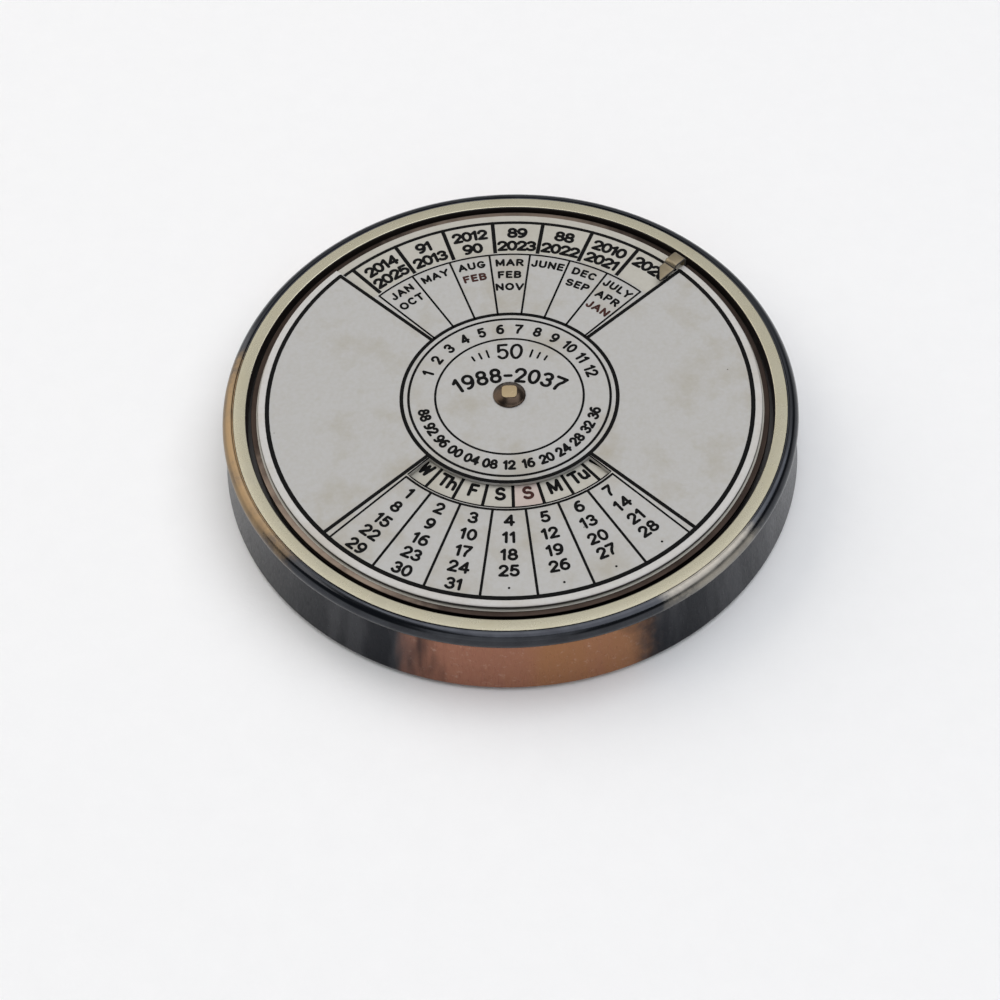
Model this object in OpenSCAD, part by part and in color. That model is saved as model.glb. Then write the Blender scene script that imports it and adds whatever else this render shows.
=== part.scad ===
// Perpetual desk calendar: a weighted brass case with a fixed face plate over a turning disc.
// The disc carries the years, which show past the notch at the top of the face, and the
// weekdays, which show through its curved window. A finger tab at its edge turns it.
// Millimetres. Z = 0 is the underside of the felt, and +Y is the top of the dial.

/* [Rim] */
// Radius over the bead
rim_r = 37.85; // [36:0.05:46]
// Radius of the bead's half-round section
bead_r = 1.25; // [1.1:0.05:1.4]
// How far the bead's crown stands above the land
bead_rise = 0.1; // [0:0.05:0.3]
// Radius of the fine groove between the land and the bead
quirk_r = 0.15; // [0.05:0.05:0.2]
// Radius that rounds the inner edge of the rim
lip_round = 0.2; // [0.1:0.05:0.6]
// Width of the flat land between that rounding and the groove
land_w = 1.45; // [1.2:0.05:2.5]
// Depth to which the wall enters the rim above the bead's lower edge
wall_grip = 0.9; // [0.6:0.1:1]

/* [Case] */
// Thickness of the spun brass sheet
shell_t = 0.6; // [0.4:0.05:0.8]
// How far the bead overhangs the top of the wall
overhang = 0.5; // [0.4:0.05:0.6]
// How much wider the wall is at its foot than at its top
flare = 1.1; // [0:0.1:1.8]
// Outside radius of the corner at the foot
foot_round = 0.5; // [0.2:0.05:0.6]
// Width of the lip that is rolled in under the base plate
foot_lip_w = 3.4; // [2:0.1:6]
// How far the felt stands below the rolled lip
felt_proud = 0.4; // [0.2:0.05:1]
// Thickness of the base plate
base_t = 1; // [0.6:0.1:2]
// Thickness of the iron weight
weight_t = 5.6; // [3:0.1:14]
// Chamfer on the weight's edges
weight_chamfer = 0.6; // [0.2:0.1:1.2]
// Thickness of the tray that carries the dial
tray_t = 0.8; // [0.5:0.1:1.5]

/* [Face plate] */
// Thickness of the face plate
face_t = 0.45; // [0.4:0.05:1]
// How far the top of the face stands above the flat land of the rim
face_proud = 0.3; // [0:0.05:0.8]
// Radius of the rolled-over upper edge of the face plate
face_edge = 0.25; // [0.1:0.05:0.35]
// Width of the ring-shaped gap between the face plate and the rim
well_w = 1.55; // [1.2:0.05:2.5]
// Radius of the floor of the notch where the years show
notch_r = 25.6; // [23:0.1:28]
// Half of the notch's angle
notch_half = 46.5; // [30:0.5:60]
// Inner radius of the weekday window
window_in_r = 14.45; // [12:0.05:16]
// Outer radius of the weekday window
window_out_r = 18.1; // [17:0.05:21]
// Half of the window's angle
window_half = 45; // [30:1:60]

/* [Turning disc] */
// Thickness of the disc
disc_t = 0.8; // [0.5:0.05:1.2]
// Gap between the disc's edge and the rim
disc_gap = 0.6; // [0.4:0.05:0.9]
// Thickness of the slip washer above the disc
upper_slip_t = 0.25; // [0.2:0.05:0.6]
// Thickness of the slip washer below the disc
lower_slip_t = 0.2; // [0.1:0.05:0.5]
// Radius of both slip washers
slip_r = 8; // [6:0.5:11]
// Height of the disc spring
spring_h = 0.7; // [0.6:0.05:1.2]
// Thickness of the disc spring's sheet
spring_t = 0.25; // [0.15:0.05:0.4]
// Outer radius of the disc spring
spring_r = 7.6; // [6:0.1:10]

/* [Hub] */
// Radius of the bush on which the disc turns
bush_r = 3; // [2.6:0.1:4]
// Radius of the bush's flange
bush_flange_r = 4.2; // [4.1:0.1:5]
// Thickness of the bush's flange
bush_flange_t = 0.3; // [0.2:0.05:0.5]
// Radius of the rivet's shank
rivet_r = 1.2; // [0.8:0.05:1.5]
// Width of the square neck that keeps the face plate from turning
neck_w = 2.6; // [2.4:0.1:3]
// Radius of the rivet's domed head
head_r = 2.15; // [2.15:0.05:3]
// Height of the rivet's domed head
head_h = 1; // [0.6:0.05:1.5]
// Height of the head's straight edge
head_edge = 0.15; // [0.05:0.05:0.3]
// Radius of the washer under the tray
rivet_washer_r = 3.1; // [2.4:0.1:4]
// Thickness of the washer under the tray
rivet_washer_t = 0.4; // [0.2:0.05:0.8]
// Radius of the rivet's peened end
peen_r = 1.9; // [1.7:0.05:2.2]
// Height of the rivet's peened end
peen_h = 0.7; // [0.4:0.05:1]

/* [Finger tab] */
// Angle of the tab on the dial, counter-clockwise from +X
tab_angle = 45.2; // [0:0.1:90]
// Thickness of the tab's sheet
tab_t = 0.3; // [0.25:0.05:0.4]
// Width of the tab
tab_w = 1.9; // [1.8:0.1:4]
// Length of the foot under the disc
tab_foot = 5; // [4:0.1:7]
// Width of the hump that the tab makes over the edge of the face plate
hump_w = 2.4; // [1.6:0.1:3]
// Height of the hump above the flap
hump_h = 0.5; // [0.4:0.05:0.9]
// Outer radius of the hump's two bends
bend_r = 0.6; // [0.4:0.05:0.7]
// Length of the pointed flap over the face
flap_len = 2.8; // [2.2:0.1:5]
// Length over which the flap keeps its full width
flap_full = 1; // [0.5:0.1:1.6]
// Width of the flap's blunt tip, which lies on the clockwise side
flap_tip_w = 0.3; // [0.2:0.05:0.8]
// Radius of the tab's two rivets
tab_rivet_r = 0.45; // [0.35:0.05:0.5]
// Radius of their flat heads, which lie under the foot
tab_head_r = 0.8; // [0.7:0.05:0.9]
// Height of their flat heads
tab_head_h = 0.12; // [0.08:0.02:0.16]

/* [Clearances] */
// Radial clearance where the disc turns on its bush
run_clear = 0.05; // [0.02:0.01:0.09]
// Radial clearance between pieces that are pressed together
fit_clear = 0.03; // [0.02:0.01:0.05]
// Radial clearance round the plates inside the case
plate_clear = 0.3; // [0.2:0.05:0.5]
// Gap between the felt and the rolled lip
felt_clear = 0.4; // [0.2:0.05:0.8]
// Clearance of the tab round the face plate's edge and above its top
tab_clear = 0.2; // [0.15:0.05:0.4]

/* [Hidden] */
$fn = 128;
EPS = 0.01;

// Heights, from the table up
lip_z = felt_proud;
base_z = lip_z + shell_t;
weight_z = base_z + base_t;
tray_z = weight_z + weight_t;
stack_z = tray_z + tray_t;
lower_slip_z = stack_z + spring_h;
disc_z = lower_slip_z + lower_slip_t;
upper_slip_z = disc_z + disc_t;
face_z = upper_slip_z + upper_slip_t;
face_top = face_z + face_t;
land_z = face_top - face_proud;

// Rim and wall
bead_c_r = rim_r - bead_r;
bead_c_z = land_z + bead_rise - bead_r;
land_r = bead_c_r - 2 * quirk_r;
rim_in_r = land_r - land_w - lip_round;
wall_r = rim_r - overhang;
wall_in_r = wall_r - shell_t;
bead_low_z = bead_c_z - sqrt(pow(bead_r, 2) - pow(wall_r + fit_clear - bead_c_r, 2));
wall_top = bead_low_z + wall_grip;
foot_r = wall_r + flare;
foot_in_r = foot_r - shell_t;
lip_r = foot_r - foot_lip_w;
plate_r = wall_in_r - plate_clear;
base_r = foot_in_r - flare * base_t / (bead_low_z - base_z) - plate_clear;

// Dial
face_r = rim_in_r - well_w;
disc_r = rim_in_r - disc_gap;
bore_r = bush_r + run_clear;
shank_hole_r = rivet_r + fit_clear;
neck_hole_w = neck_w + 2 * fit_clear;
peen_z = tray_z - rivet_washer_t - peen_h;

// The pocket in the weight gives room to the rivet's washer and peened end
pocket_r = rivet_washer_r + plate_clear;
pocket_z = peen_z - plate_clear;

// Finger tab, with X as its own radial direction
riser_x = face_r + tab_clear;
riser_out_x = riser_x + tab_t;
tab_foot_z = disc_z - tab_t;
flap_z = face_top + tab_clear;
hump_top = flap_z + tab_t + hump_h;
flap_x = riser_out_x - hump_w;
tab_rivet_x = [for (share = [0.3, 0.7]) riser_x - share * tab_foot];

// A flat ring lying at height z
module ring(outer, inner, z, h) {
    translate([0, 0, z])
        difference() {
            cylinder(r = outer, h = h);
            translate([0, 0, -EPS]) cylinder(r = inner, h = h + 2 * EPS);
        }
}

// A plane wedge from the centre, centred on an angle and open by half to each side of it
module wedge(half, angle, reach) {
    rotate(angle)
        polygon([
            [0, 0],
            for (share = [-1, -0.5, 0, 0.5, 1]) reach * [cos(half * share), sin(half * share)]
        ]);
}

// A part of a ring between two radii, within a wedge
module ring_part(outer, inner, half, angle) {
    intersection() {
        difference() {
            circle(r = outer);
            circle(r = inner);
        }
        wedge(half, angle, 2 * outer);
    }
}

// A flat-headed rivet along Z from its head's underside, closed flush at the end of its grip
module flush_rivet(grip) {
    cylinder(r = tab_head_r, h = tab_head_h);
    cylinder(r = tab_rivet_r, h = grip + tab_head_h);
}

// A quarter of a sheet's bend in the plane, centred on the origin and turned by an angle
module bend(angle) {
    rotate(angle)
        intersection() {
            difference() {
                circle(r = bend_r);
                circle(r = bend_r - tab_t);
            }
            square(2 * bend_r);
        }
}

module felt_pad() {
    color("darkolivegreen") cylinder(r = lip_r - felt_clear, h = base_z);
}

module base_plate() {
    color("gray") translate([0, 0, base_z]) cylinder(r = base_r, h = base_t);
}

// Spun shell: a sheet wall that flares to a rounded foot and turns in under the base plate
module case_wall() {
    color("peru")
        rotate_extrude() {
            polygon([
                [lip_r, lip_z],
                [foot_r - foot_round, lip_z],
                [foot_r, lip_z + foot_round],
                [wall_r, bead_low_z],
                [wall_r, wall_top],
                [wall_in_r, wall_top],
                [wall_in_r, bead_low_z],
                [foot_in_r, base_z],
                [lip_r, base_z]
            ]);
            translate([foot_r - foot_round, lip_z + foot_round]) circle(r = foot_round);
        }
}

module weight_slug() {
    color("dimgray")
        difference() {
            translate([0, 0, weight_z])
                rotate_extrude()
                    polygon([
                        [0, 0],
                        [plate_r - weight_chamfer, 0],
                        [plate_r, weight_chamfer],
                        [plate_r, weight_t - weight_chamfer],
                        [plate_r - weight_chamfer, weight_t],
                        [0, weight_t]
                    ]);
            translate([0, 0, pocket_z]) cylinder(r = pocket_r, h = weight_t);
        }
}

module dial_tray() {
    color("darkslategray") ring(plate_r, shank_hole_r, tray_z, tray_t);
}

// Turned rim: flat land, fine groove and half-round bead, pressed over the wall and down on the tray
module rim_ring() {
    color("gold")
        rotate_extrude()
            difference() {
                union() {
                    translate([rim_in_r, stack_z]) square([bead_c_r - rim_in_r + EPS, land_z - stack_z]);
                    translate([bead_c_r, bead_c_z])
                        intersection() {
                            circle(r = bead_r);
                            translate([0, -bead_r]) square([bead_r, 2 * bead_r]);
                        }
                }
                // groove
                translate([bead_c_r - quirk_r, land_z]) circle(r = quirk_r);
                // rounded inner edge
                translate([rim_in_r, land_z - lip_round])
                    difference() {
                        translate([-EPS, 0]) square([lip_round + EPS, lip_round + EPS]);
                        translate([lip_round, 0]) circle(r = lip_round);
                    }
                // channel for the wall
                translate([wall_in_r - fit_clear, stack_z - 2 * bead_r])
                    square([shell_t + 2 * fit_clear, wall_top + fit_clear - stack_z + 2 * bead_r]);
                // seat on the tray
                translate([rim_in_r, stack_z - 2 * bead_r])
                    square([wall_in_r - rim_in_r, 2 * bead_r]);
            }
}

module rivet_washer() {
    color("silver") ring(rivet_washer_r, shank_hole_r, tray_z - rivet_washer_t, rivet_washer_t);
}

module hub_bush() {
    color("goldenrod")
        difference() {
            translate([0, 0, stack_z]) {
                cylinder(r = bush_flange_r, h = bush_flange_t);
                cylinder(r = bush_r, h = face_z - stack_z);
            }
            translate([0, 0, stack_z - EPS]) cylinder(r = shank_hole_r, h = face_z - stack_z + 2 * EPS);
        }
}

// Conical disc spring round the bush's flange: its outer edge stands on the tray
module disc_spring() {
    color("lightsteelblue")
        translate([0, 0, stack_z])
            rotate_extrude()
                polygon([
                    [spring_r, 0],
                    [spring_r, spring_t],
                    [bush_flange_r + run_clear, spring_h],
                    [bush_flange_r + run_clear, spring_h - spring_t]
                ]);
}

module lower_slip_washer() {
    color("ivory") ring(slip_r, bore_r, lower_slip_z, lower_slip_t);
}

module upper_slip_washer() {
    color("ivory") ring(slip_r, bore_r, upper_slip_z, upper_slip_t);
}

// Disc with two rivet holes and a slot in its edge, where the tab comes up
module year_disc() {
    slot_x = riser_x - fit_clear;
    slot_w = tab_w + 2 * fit_clear;
    color("beige")
        difference() {
            ring(disc_r, bore_r, disc_z, disc_t);
            rotate(tab_angle)
                translate([0, 0, disc_z - EPS]) {
                    for (x = tab_rivet_x)
                        translate([x, 0, 0]) cylinder(r = tab_rivet_r + fit_clear, h = disc_t + 2 * EPS);
                    translate([slot_x, -slot_w / 2, 0]) cube([disc_r - slot_x + EPS, slot_w, disc_t + 2 * EPS]);
                }
        }
}

// Fixed face: a stamped plate with a rolled edge, the year notch, the weekday window and a square hole
module face_plate() {
    color("gainsboro")
        translate([0, 0, face_z])
            difference() {
                rotate_extrude() {
                    square([face_r - face_edge, face_t]);
                    square([face_r, face_t - face_edge]);
                    translate([face_r - face_edge, face_t - face_edge])
                        intersection() {
                            circle(r = face_edge);
                            square(face_edge);
                        }
                }
                translate([0, 0, -EPS])
                    linear_extrude(face_t + 2 * EPS) {
                        ring_part(rim_r, notch_r, notch_half, 90);
                        ring_part(window_out_r, window_in_r, window_half, 270);
                        square(neck_hole_w, center = true);
                    }
            }
}

// Domed rivet with a square neck in the face plate and a peened end under the tray
module centre_rivet() {
    dome_h = head_h - head_edge;
    dome_r = (pow(head_r, 2) + pow(dome_h, 2)) / (2 * dome_h);
    color("darkgoldenrod") {
        translate([0, 0, face_top]) {
            cylinder(r = head_r, h = head_edge);
            intersection() {
                translate([0, 0, head_h - dome_r]) sphere(r = dome_r);
                cylinder(r = head_r, h = head_h);
            }
        }
        translate([-neck_w / 2, -neck_w / 2, face_z]) cube([neck_w, neck_w, face_t]);
        translate([0, 0, peen_z]) {
            cylinder(r = rivet_r, h = face_z - peen_z);
            rotate_extrude()
                intersection() {
                    translate([peen_r - peen_h, peen_h]) circle(r = peen_h);
                    square([peen_r, peen_h]);
                }
            cylinder(r = peen_r - peen_h, h = peen_h);
        }
    }
}

// Folded tab: foot under the disc, riser through its slot, hump over the face plate's edge and pointed flap
module finger_tab() {
    color("burlywood")
        rotate(tab_angle) {
            difference() {
                rotate([90, 0, 0])
                    linear_extrude(tab_w, center = true) {
                        translate([riser_x - tab_foot, tab_foot_z]) square([tab_foot + tab_t, tab_t]);
                        translate([riser_x, tab_foot_z]) square([tab_t, hump_top - bend_r - tab_foot_z]);
                        translate([riser_out_x - bend_r, hump_top - bend_r]) bend(0);
                        translate([flap_x + bend_r, hump_top - tab_t]) square([hump_w - 2 * bend_r, tab_t]);
                        translate([flap_x + bend_r, hump_top - bend_r]) bend(90);
                        translate([flap_x, flap_z]) square([tab_t, hump_top - bend_r - flap_z]);
                    }
                for (x = tab_rivet_x)
                    translate([x, 0, tab_foot_z - EPS])
                        cylinder(r = tab_rivet_r + fit_clear, h = tab_t + 2 * EPS);
            }
            translate([0, 0, flap_z])
                linear_extrude(tab_t)
                    polygon([
                        [flap_x, -tab_w / 2],
                        [flap_x, tab_w / 2],
                        [flap_x - flap_full, tab_w / 2],
                        [flap_x - flap_len, flap_tip_w - tab_w / 2],
                        [flap_x - flap_len, -tab_w / 2]
                    ]);
        }
}

// Two rivets that hold the tab's foot against the disc
module tab_rivets() {
    color("goldenrod")
        rotate(tab_angle)
            for (x = tab_rivet_x)
                translate([x, 0, tab_foot_z - tab_head_h]) flush_rivet(tab_t + disc_t);
}

felt_pad();
base_plate();
case_wall();
weight_slug();
dial_tray();
rim_ring();
rivet_washer();
hub_bush();
disc_spring();
lower_slip_washer();
year_disc();
upper_slip_washer();
face_plate();
centre_rivet();
finger_tab();
tab_rivets();
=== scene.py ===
import math
from datetime import date

import bmesh
import bpy
from mathutils import Matrix, Vector


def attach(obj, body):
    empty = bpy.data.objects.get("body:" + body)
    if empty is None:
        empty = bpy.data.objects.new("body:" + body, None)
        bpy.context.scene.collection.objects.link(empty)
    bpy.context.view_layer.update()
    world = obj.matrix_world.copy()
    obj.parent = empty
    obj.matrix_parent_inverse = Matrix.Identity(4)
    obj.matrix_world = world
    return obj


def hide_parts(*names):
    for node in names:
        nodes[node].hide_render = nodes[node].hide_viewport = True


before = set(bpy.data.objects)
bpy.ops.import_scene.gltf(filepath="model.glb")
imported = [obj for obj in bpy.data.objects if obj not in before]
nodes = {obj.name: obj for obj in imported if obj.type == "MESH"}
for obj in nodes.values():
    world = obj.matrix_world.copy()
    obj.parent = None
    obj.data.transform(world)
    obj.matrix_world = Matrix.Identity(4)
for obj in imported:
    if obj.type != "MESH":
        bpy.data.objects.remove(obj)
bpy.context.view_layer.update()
mm = 0.001
print("frame loaded:", len(nodes), "nodes")


def linear(hexColour):
    channels = [int(hexColour[i:i + 2], 16) / 255 for i in (0, 2, 4)]
    return [c / 12.92 if c <= 0.04045 else ((c + 0.055) / 1.055) ** 2.4 for c in channels] + [1]


def polar(radius, degrees, centre=(0, 0)):
    turned = math.radians(degrees)
    return (centre[0] + radius * math.cos(turned), centre[1] + radius * math.sin(turned))


def bow(centre, radii, start, end, steps):
    # points along an elliptical arc, in degrees
    points = []
    for step in range(steps + 1):
        turned = math.radians(start + (end - start) * step / steps)
        points.append((centre[0] + radii[0] * math.cos(turned), centre[1] + radii[1] * math.sin(turned)))
    return points


def rounded(corners, steps=5):
    # each corner is (across, up) or (across, up, radius of its rounding)
    outline = []
    for index, corner in enumerate(corners):
        here = Vector(corner[:2])
        if len(corner) < 3:
            outline.append(tuple(here))
            continue
        toBefore = (Vector(corners[index - 1][:2]) - here).normalized()
        toAfter = (Vector(corners[(index + 1) % len(corners)][:2]) - here).normalized()
        half = toBefore.angle(toAfter) / 2
        middle = here + (toBefore + toAfter).normalized() * corner[2] / math.sin(half)
        first = here + toBefore * corner[2] / math.tan(half) - middle
        last = here + toAfter * corner[2] / math.tan(half) - middle
        start = math.atan2(first.y, first.x)
        sweep = math.atan2(last.y, last.x) - start
        sweep = (sweep + math.pi) % (2 * math.pi) - math.pi
        for step in range(steps + 1):
            turned = start + sweep * step / steps
            outline.append((middle.x + corner[2] * math.cos(turned), middle.y + corner[2] * math.sin(turned)))
    return outline


def feed(node, inputs):
    # a value is a constant, a colour in hex, or the output socket that feeds the input
    for name, value in inputs.items():
        if isinstance(value, bpy.types.NodeSocket):
            node.id_data.links.new(value, node.inputs[name])
        else:
            node.inputs[name].default_value = linear(value) if isinstance(value, str) else value


def addNode(tree, kind, inputs, output=None, **settings):
    # gives back the output that is named, or the first one that the settings leave in use
    node = tree.nodes.new("ShaderNode" + kind)
    for name, value in settings.items():
        setattr(node, name, value)
    feed(node, inputs)
    return node.outputs[output] if output else next(socket for socket in node.outputs if socket.enabled)


def newMaterial(name, settings):
    material = bpy.data.materials.new(name)
    material.use_nodes = True
    tree = material.node_tree
    shader = tree.nodes["Principled BSDF"]
    feed(shader, settings)
    return material, tree, shader, addNode(tree, "TexCoord", {}, "Object")


def addObject(name, data):
    thing = bpy.data.objects.new(name, data)
    bpy.context.scene.collection.objects.link(thing)
    return thing


def addPiece(name, points, faces, materials, body, slot, replaced=(), sharpAngle=35, pick=None):
    # points are in millimetres; faces are rows of point numbers; pick numbers the material of a side
    mesh = bpy.data.meshes.new(name)
    mesh.from_pydata([(x * mm, y * mm, z * mm) for x, y, z in points], [], faces)
    work = bmesh.new()
    work.from_mesh(mesh)
    bmesh.ops.recalc_face_normals(work, faces=work.faces)
    work.to_mesh(mesh)
    work.free()
    mesh.shade_smooth()
    mesh.set_sharp_from_angle(angle=math.radians(sharpAngle))
    piece = addObject(name, mesh)
    for material in materials:
        mesh.materials.append(material)
    if pick:
        for side in mesh.polygons:
            side.material_index = int(pick(side))
    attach(piece, body)
    if replaced:
        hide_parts(*replaced)
    return piece


def turn(outline, segments):
    # a closed outline of (radius, height) turned round Z; a radius of 0 is one point on the axis
    points, rows = [], []
    for radius, height in outline:
        if radius < 1e-6:
            rows.append([len(points)] * segments)
            points.append((0, 0, height))
            continue
        rows.append(list(range(len(points), len(points) + segments)))
        points += [(*polar(radius, 360 * k / segments), height) for k in range(segments)]
    faces = []
    for index, row in enumerate(rows):
        below = rows[index - 1]
        if row[0] == row[1] and below[0] == below[1]:
            continue
        for k in range(segments):
            after = (k + 1) % segments
            face = [below[k], below[after], row[after], row[k]]
            faces.append(list(dict.fromkeys(face)))
    return points, faces


def latheCoordinates(tree, spacing):
    # distance from the axis and height, in turns of the spacing, so that a pattern runs round the piece
    place = addNode(tree, "TexCoord", {}, "Object")
    flat = addNode(tree, "VectorMath", {0: place, 1: (1, 1, 0)}, operation="MULTIPLY")
    reach = addNode(tree, "VectorMath", {0: flat}, operation="LENGTH")
    split = addNode(tree, "SeparateXYZ", {"Vector": place}, "Z")
    joined = addNode(tree, "CombineXYZ", {"X": reach, "Y": split})
    return addNode(tree, "VectorMath", {0: joined, "Scale": 1 / (spacing * mm)}, operation="SCALE")


def facingShare(tree, degrees, uneven, fromMin, fromMax, ragged=0.35):
    # 1 where a piece faces a direction on the dial, 0 away from it, with an uneven edge
    place = addNode(tree, "TexCoord", {}, "Object")
    flat = addNode(tree, "VectorMath", {0: place, 1: (1, 1, 0)}, operation="MULTIPLY")
    outward = addNode(tree, "VectorMath", {0: flat}, operation="NORMALIZE")
    facing = addNode(tree, "VectorMath", {0: outward, 1: (*polar(1, degrees), 0)}, operation="DOT_PRODUCT")
    wavering = addNode(tree, "Math", {0: uneven, 1: ragged, 2: facing}, operation="MULTIPLY_ADD")
    return addNode(tree, "MapRange", {"Value": wavering, "From Min": fromMin, "From Max": fromMax},
                   interpolation_type="SMOOTHSTEP")


def polishedBrass(name, metal, worn, smooth, dull, paintedLightAt=()):
    # Brass, turned, polished and lacquered: slightly broken by lathe rings and dull spots. Each row of
    # paintedLightAt paints the metal paler and rougher on the side of the dial that it faces, as painted
    # light: each row has a direction on the dial, the least and most of its fading, its raggedness and its
    # colour
    look = {"ringSpacing": 0.3, "spotSize": 5, "paintedLightRoughness": 0.36}
    material, tree, shader, place = newMaterial(name, {"Metallic": 1})
    rings = addNode(tree, "TexNoise",
                    {"Vector": latheCoordinates(tree, look["ringSpacing"]), "Scale": 1, "Detail": 3})
    spots = addNode(tree, "TexNoise",
                    {"Vector": place, "Scale": 1 / (look["spotSize"] * mm), "Detail": 6, "Roughness": 0.65})
    share = addNode(tree, "MapRange", {"Value": spots, "From Min": 0.42, "From Max": 0.72})
    tint = addNode(tree, "Mix", {"Factor": share, "A": metal, "B": worn}, data_type="RGBA")
    rough = addNode(tree, "MapRange",
                    {"Value": spots, "From Min": 0.35, "From Max": 0.75, "To Min": smooth, "To Max": dull})
    bump = addNode(tree, "Bump", {"Height": rings, "Strength": 0.12, "Distance": 0.02 * mm})
    # painted light: the listed sides are painted paler, standing in for highlights
    for degrees, least, most, ragged, bare in paintedLightAt:
        paintedLightShare = facingShare(tree, degrees, spots, least, most, ragged)
        tint = addNode(tree, "Mix", {"Factor": paintedLightShare, "A": tint, "B": bare}, data_type="RGBA")
        rough = addNode(tree, "MapRange",
                        {"Value": paintedLightShare, "To Min": rough, "To Max": look["paintedLightRoughness"]})
    feed(shader, {"Base Color": tint, "Roughness": rough, "Normal": bump})
    return material


def brushedCopperBrass():
    # Reddish brass sheet, brushed upright: fine vertical streaks and soft bands; nearly black on the sides as
    # painted dark reflection, with the bands as paler painted reflection in it, copper at front and back,
    # golden to the right of the front, with a few pale scuffs
    look = {"metal": "895949", "bright": "a6765f", "golden": "9c6f48", "scuff": "c9ab98",
            "paintedDark": "13161d", "paintedReflection": "35363a",
            "streakWidth": 0.14, "streakLength": 7, "bandWidth": 5, "patchSize": 7, "scuffSize": 0.9,
            "rightEnd": 330, "leftEnd": 216, "goldenAt": 298, "backAt": 96}  # directions on the dial
    material, tree, shader, place = newMaterial("brushedCopperBrass", {"Metallic": 1})
    perWidth, perLength = (1 / (look[name] * mm) for name in ("streakWidth", "streakLength"))
    drawn = addNode(tree, "VectorMath", {0: place, 1: (perWidth, perWidth, perLength)}, operation="MULTIPLY")
    streaks = addNode(tree, "TexNoise", {"Vector": drawn, "Scale": 1, "Detail": 4, "Roughness": 0.6})
    perBand = 1 / (look["bandWidth"] * mm)
    upright = addNode(tree, "VectorMath", {0: place, 1: (perBand, perBand, 0.1 * perBand)},
                      operation="MULTIPLY")
    bands = addNode(tree, "TexNoise", {"Vector": upright, "Scale": 1, "Detail": 3, "Roughness": 0.6})
    patches = addNode(tree, "TexNoise", {"Vector": place, "Scale": 1 / (look["patchSize"] * mm),
                                         "Detail": 5, "Roughness": 0.6})
    streaky = addNode(tree, "Mix", {"Factor": streaks, "A": look["metal"], "B": look["bright"]},
                      data_type="RGBA")
    drift = facingShare(tree, look["goldenAt"], bands, 0.98, 1.2)
    share = addNode(tree, "Math", {0: drift, 1: 0.75}, operation="MULTIPLY")
    warm = addNode(tree, "Mix", {"Factor": share, "A": streaky, "B": look["golden"]}, data_type="RGBA")
    flecks = addNode(tree, "TexNoise", {"Vector": place, "Scale": 1 / (look["scuffSize"] * mm),
                                        "Detail": 4, "Roughness": 0.7})
    scuffed = addNode(tree, "MapRange", {"Value": flecks, "From Min": 0.58, "From Max": 0.8, "To Max": 0.6})
    copper = addNode(tree, "Mix", {"Factor": scuffed, "A": warm, "B": look["scuff"]}, data_type="RGBA")
    # painted reflection: soft upright bands lighten the painted dark
    paintedReflectionBands = addNode(tree, "MapRange", {"Value": bands, "From Min": 0.45, "From Max": 0.62},
                      interpolation_type="SMOOTHSTEP")
    paintedDarkSides = addNode(tree, "Mix", {"Factor": paintedReflectionBands, "A": look["paintedDark"], "B": look["paintedReflection"]},
                   data_type="RGBA")
    # painted dark reflection on the sides between front and back; worn is the share left copper
    toRight = facingShare(tree, look["rightEnd"], bands, 0.33, 0.46)
    toLeft = facingShare(tree, look["leftEnd"], patches, 0.26, 0.46)
    front = addNode(tree, "Math", {0: toRight, 1: toLeft}, operation="MULTIPLY")
    back = facingShare(tree, look["backAt"], patches, 0.82, 1.04)
    worn = addNode(tree, "Math", {0: front, 1: back}, operation="MAXIMUM")
    tint = addNode(tree, "Mix", {"Factor": worn, "A": paintedDarkSides, "B": copper}, data_type="RGBA")
    rough = addNode(tree, "MapRange",
                    {"Value": streaks, "From Min": 0.3, "From Max": 0.7, "To Min": 0.24, "To Max": 0.4})
    bump = addNode(tree, "Bump", {"Height": streaks, "Strength": 0.3, "Distance": 0.02 * mm})
    feed(shader, {"Base Color": tint, "Roughness": rough, "Normal": bump})
    return material


def turnedBrass(name, metal, shade, roughness):
    # Brass, turned or stamped and handled for years: satin, with brown tarnish in soft clouds
    material, tree, shader, place = newMaterial(name, {"Metallic": 1})
    cloudSize = 1.6
    clouds = addNode(tree, "TexNoise", {"Vector": place, "Scale": 1 / (cloudSize * mm), "Detail": 5})
    tint = addNode(tree, "Mix", {"Factor": clouds, "A": metal, "B": shade}, data_type="RGBA")
    rough = addNode(tree, "MapRange",
                    {"Value": clouds, "To Min": roughness * 0.7, "To Max": roughness * 1.4})
    bump = addNode(tree, "Bump", {"Height": clouds, "Strength": 0.15, "Distance": 0.05 * mm})
    feed(shader, {"Base Color": tint, "Roughness": rough, "Normal": bump})
    return material


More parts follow.
